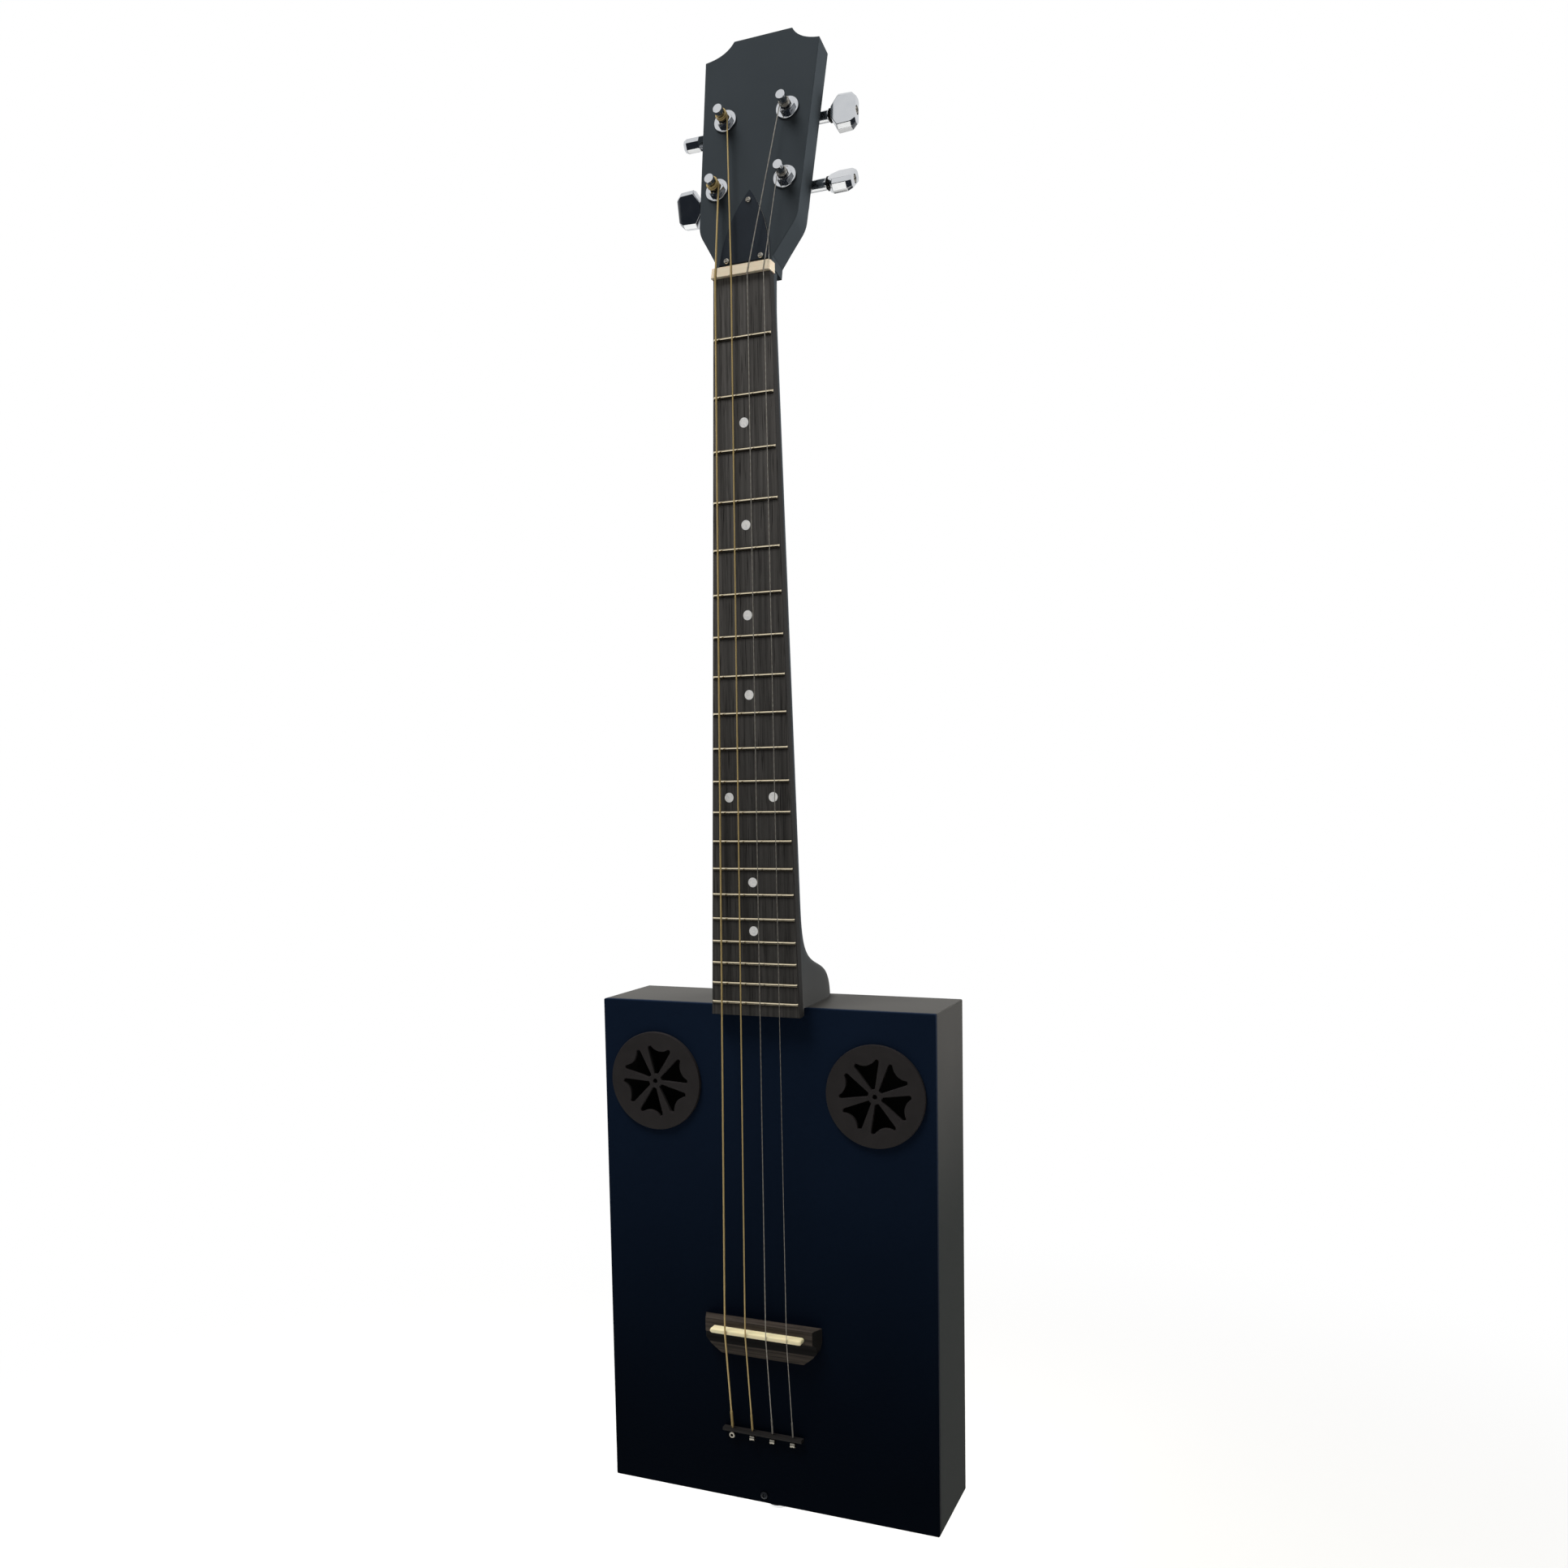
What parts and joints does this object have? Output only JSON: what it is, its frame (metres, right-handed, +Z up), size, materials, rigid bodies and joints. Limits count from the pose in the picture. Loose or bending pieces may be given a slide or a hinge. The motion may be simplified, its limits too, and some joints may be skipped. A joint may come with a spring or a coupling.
{
  "type": "box guitar",
  "caption": "Box guitar with a shallow rectangular body, round sound grilles, fretted neck with a carved heel, tilted headstock and worm-geared tuning machines.",
  "frame": {"origin": "seat of a wall hanger: midway between the two sloping shoulders under the headstock, at half its thickness", "axes": "+Z up along the neck towards the headstock, -Y out of the face with the strings, +X to the right of a viewer in front"},
  "size_m": [0.23, 0.0781, 0.9482],
  "materials": {
    "dark_lacquer": "satin",
    "bare_wood": "matte",
    "rosewood": "satin",
    "bone": "satin",
    "black_plastic": "satin",
    "grille_brown": "matte",
    "chrome": "polished",
    "nickel_steel": "polished",
    "bronze_wire": "satin"
  },
  "bodies": {
    "instrument": {"soundboard": "dark_lacquer", "back_plate": "dark_lacquer", "side_left": "dark_lacquer", "side_right": "dark_lacquer", "side_top": "dark_lacquer", "side_bottom": "dark_lacquer", "neck": "dark_lacquer", "neck_block": "bare_wood", "tail_block": "bare_wood", "centre_beam": "bare_wood", "bridge_plate": "bare_wood", "back_brace_upper": "bare_wood", "back_brace_lower": "bare_wood", "fretboard": "rosewood", "bridge": "rosewood", "tail_bar": "rosewood", "nut": "bone", "saddle": "bone", "truss_rod_cover": "black_plastic", "grille_left": "grille_brown", "grille_right": "grille_brown", "truss_rod": "nickel_steel", "cover_screw_1": "nickel_steel", "cover_screw_2": "nickel_steel", "cover_screw_3": "nickel_steel", "strap_button_screw": "nickel_steel", "face_screw": "nickel_steel", "strap_button": "chrome", "string_1": "bronze_wire", "tuner_bushing_1": "chrome", "tuner_washer_1": "chrome", "tuner_base_1": "chrome", "tuner_housing_1": "chrome", "string_2": "bronze_wire", "tuner_bushing_2": "chrome", "tuner_washer_2": "chrome", "tuner_base_2": "chrome", "tuner_housing_2": "chrome", "string_3": "nickel_steel", "tuner_bushing_3": "chrome", "tuner_washer_3": "chrome", "tuner_base_3": "chrome", "tuner_housing_3": "chrome", "string_4": "nickel_steel", "tuner_bushing_4": "chrome", "tuner_washer_4": "chrome", "tuner_base_4": "chrome", "tuner_housing_4": "chrome"},
    "button_1": {"worm_shaft_1": "nickel_steel", "tuner_button_1": "chrome"},
    "post_1": {"string_post_1": "chrome"},
    "button_2": {"worm_shaft_2": "nickel_steel", "tuner_button_2": "chrome"},
    "post_2": {"string_post_2": "chrome"},
    "button_3": {"worm_shaft_3": "nickel_steel", "tuner_button_3": "chrome"},
    "post_3": {"string_post_3": "chrome"},
    "button_4": {"worm_shaft_4": "nickel_steel", "tuner_button_4": "chrome"},
    "post_4": {"string_post_4": "chrome"}
  },
  "joints": [
    {"name": "button_turn_1", "type": "hinge", "parent": "instrument", "child": "button_1", "pos_m": [-0.0227, 0.02388, 0.04118], "axis": [1, 0, 0], "continuous": true},
    {"name": "post_turn_1", "type": "hinge", "parent": "instrument", "child": "post_1", "pos_m": [-0.0227, 0.0014, 0.03939], "axis": [0, -0.9744, 0.225], "continuous": true},
    {"name": "button_turn_2", "type": "hinge", "parent": "instrument", "child": "button_2", "pos_m": [-0.0209, 0.03431, 0.08639], "axis": [1, 0, 0], "continuous": true},
    {"name": "post_turn_2", "type": "hinge", "parent": "instrument", "child": "post_2", "pos_m": [-0.0209, 0.01184, 0.08461], "axis": [0, -0.9744, 0.225], "continuous": true},
    {"name": "button_turn_3", "type": "hinge", "parent": "instrument", "child": "button_3", "pos_m": [0.0209, 0.03431, 0.08639], "axis": [1, 0, 0], "continuous": true},
    {"name": "post_turn_3", "type": "hinge", "parent": "instrument", "child": "post_3", "pos_m": [0.0209, 0.01184, 0.08461], "axis": [0, -0.9744, 0.225], "continuous": true},
    {"name": "button_turn_4", "type": "hinge", "parent": "instrument", "child": "button_4", "pos_m": [0.0227, 0.02388, 0.04118], "axis": [1, 0, 0], "continuous": true},
    {"name": "post_turn_4", "type": "hinge", "parent": "instrument", "child": "post_4", "pos_m": [0.0227, 0.0014, 0.03939], "axis": [0, -0.9744, 0.225], "continuous": true}
  ],
  "couplings": [
    {"joint": "post_turn_1", "follows": "button_turn_1", "ratio": -0.071429},
    {"joint": "post_turn_2", "follows": "button_turn_2", "ratio": -0.071429},
    {"joint": "post_turn_3", "follows": "button_turn_3", "ratio": 0.071429},
    {"joint": "post_turn_4", "follows": "button_turn_4", "ratio": 0.071429}
  ]
}
